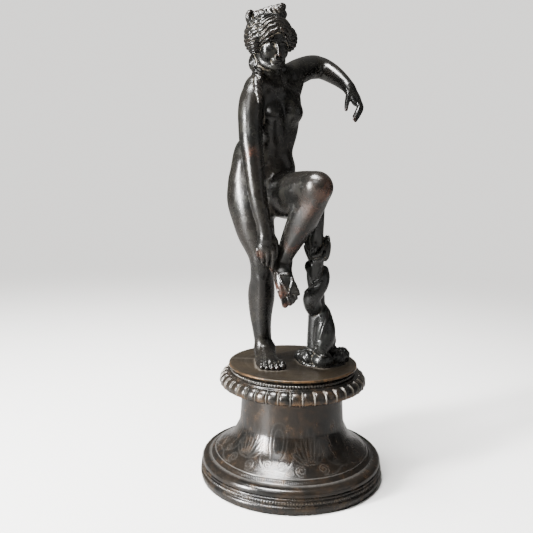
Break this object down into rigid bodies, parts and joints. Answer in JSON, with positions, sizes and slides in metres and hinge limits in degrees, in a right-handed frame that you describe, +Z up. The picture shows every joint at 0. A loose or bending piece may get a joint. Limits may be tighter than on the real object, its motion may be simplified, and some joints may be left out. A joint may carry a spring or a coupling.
{
  "type": "bronze statuette",
  "caption": "Dark patinated bronze figure of a standing nude reaching for the sandal on a raised foot, beside a dolphin post, on a round turned socle.",
  "frame": {"origin": "centre of the underside of the foot ring", "axes": "+Z up, -Y towards the front of the statuette, +X to the viewer's right"},
  "size_m": [0.12, 0.12, 0.3004],
  "materials": {
    "figure_bronze": "dark brown patina, waxed and polished, rubbed to copper on the high points",
    "support_bronze": "dark brown patina with pale dust in the hollows",
    "disc_bronze": "olive brown patina, rubbed to copper at the rim",
    "collar_bronze": "dark polished patina, worn to copper on the lobes",
    "socle_bronze": "dark polished patina with a worn engraved pattern",
    "foot_bronze": "dark brown patina, worn brown at the lower edge",
    "wrought_iron": "dull dark iron with light rust",
    "pin_steel": "plain steel dowel"
  },
  "bodies": {
    "root": {"figure_body": "figure_bronze", "right_arm": "figure_bronze", "left_arm": "figure_bronze", "dolphin_support": "support_bronze", "plinth_disc": "disc_bronze", "gadrooned_collar": "collar_bronze", "waisted_socle": "socle_bronze", "foot_ring": "foot_bronze", "tie_rod": "wrought_iron", "tie_nut": "wrought_iron", "tie_washer": "wrought_iron", "bridge_bar": "wrought_iron", "figure_stud": "wrought_iron", "figure_nut": "wrought_iron", "figure_washer": "wrought_iron", "support_stud": "wrought_iron", "support_nut": "wrought_iron", "support_washer": "wrought_iron", "right_arm_pin": "pin_steel", "left_arm_pin": "pin_steel"}
  },
  "joints": []
}
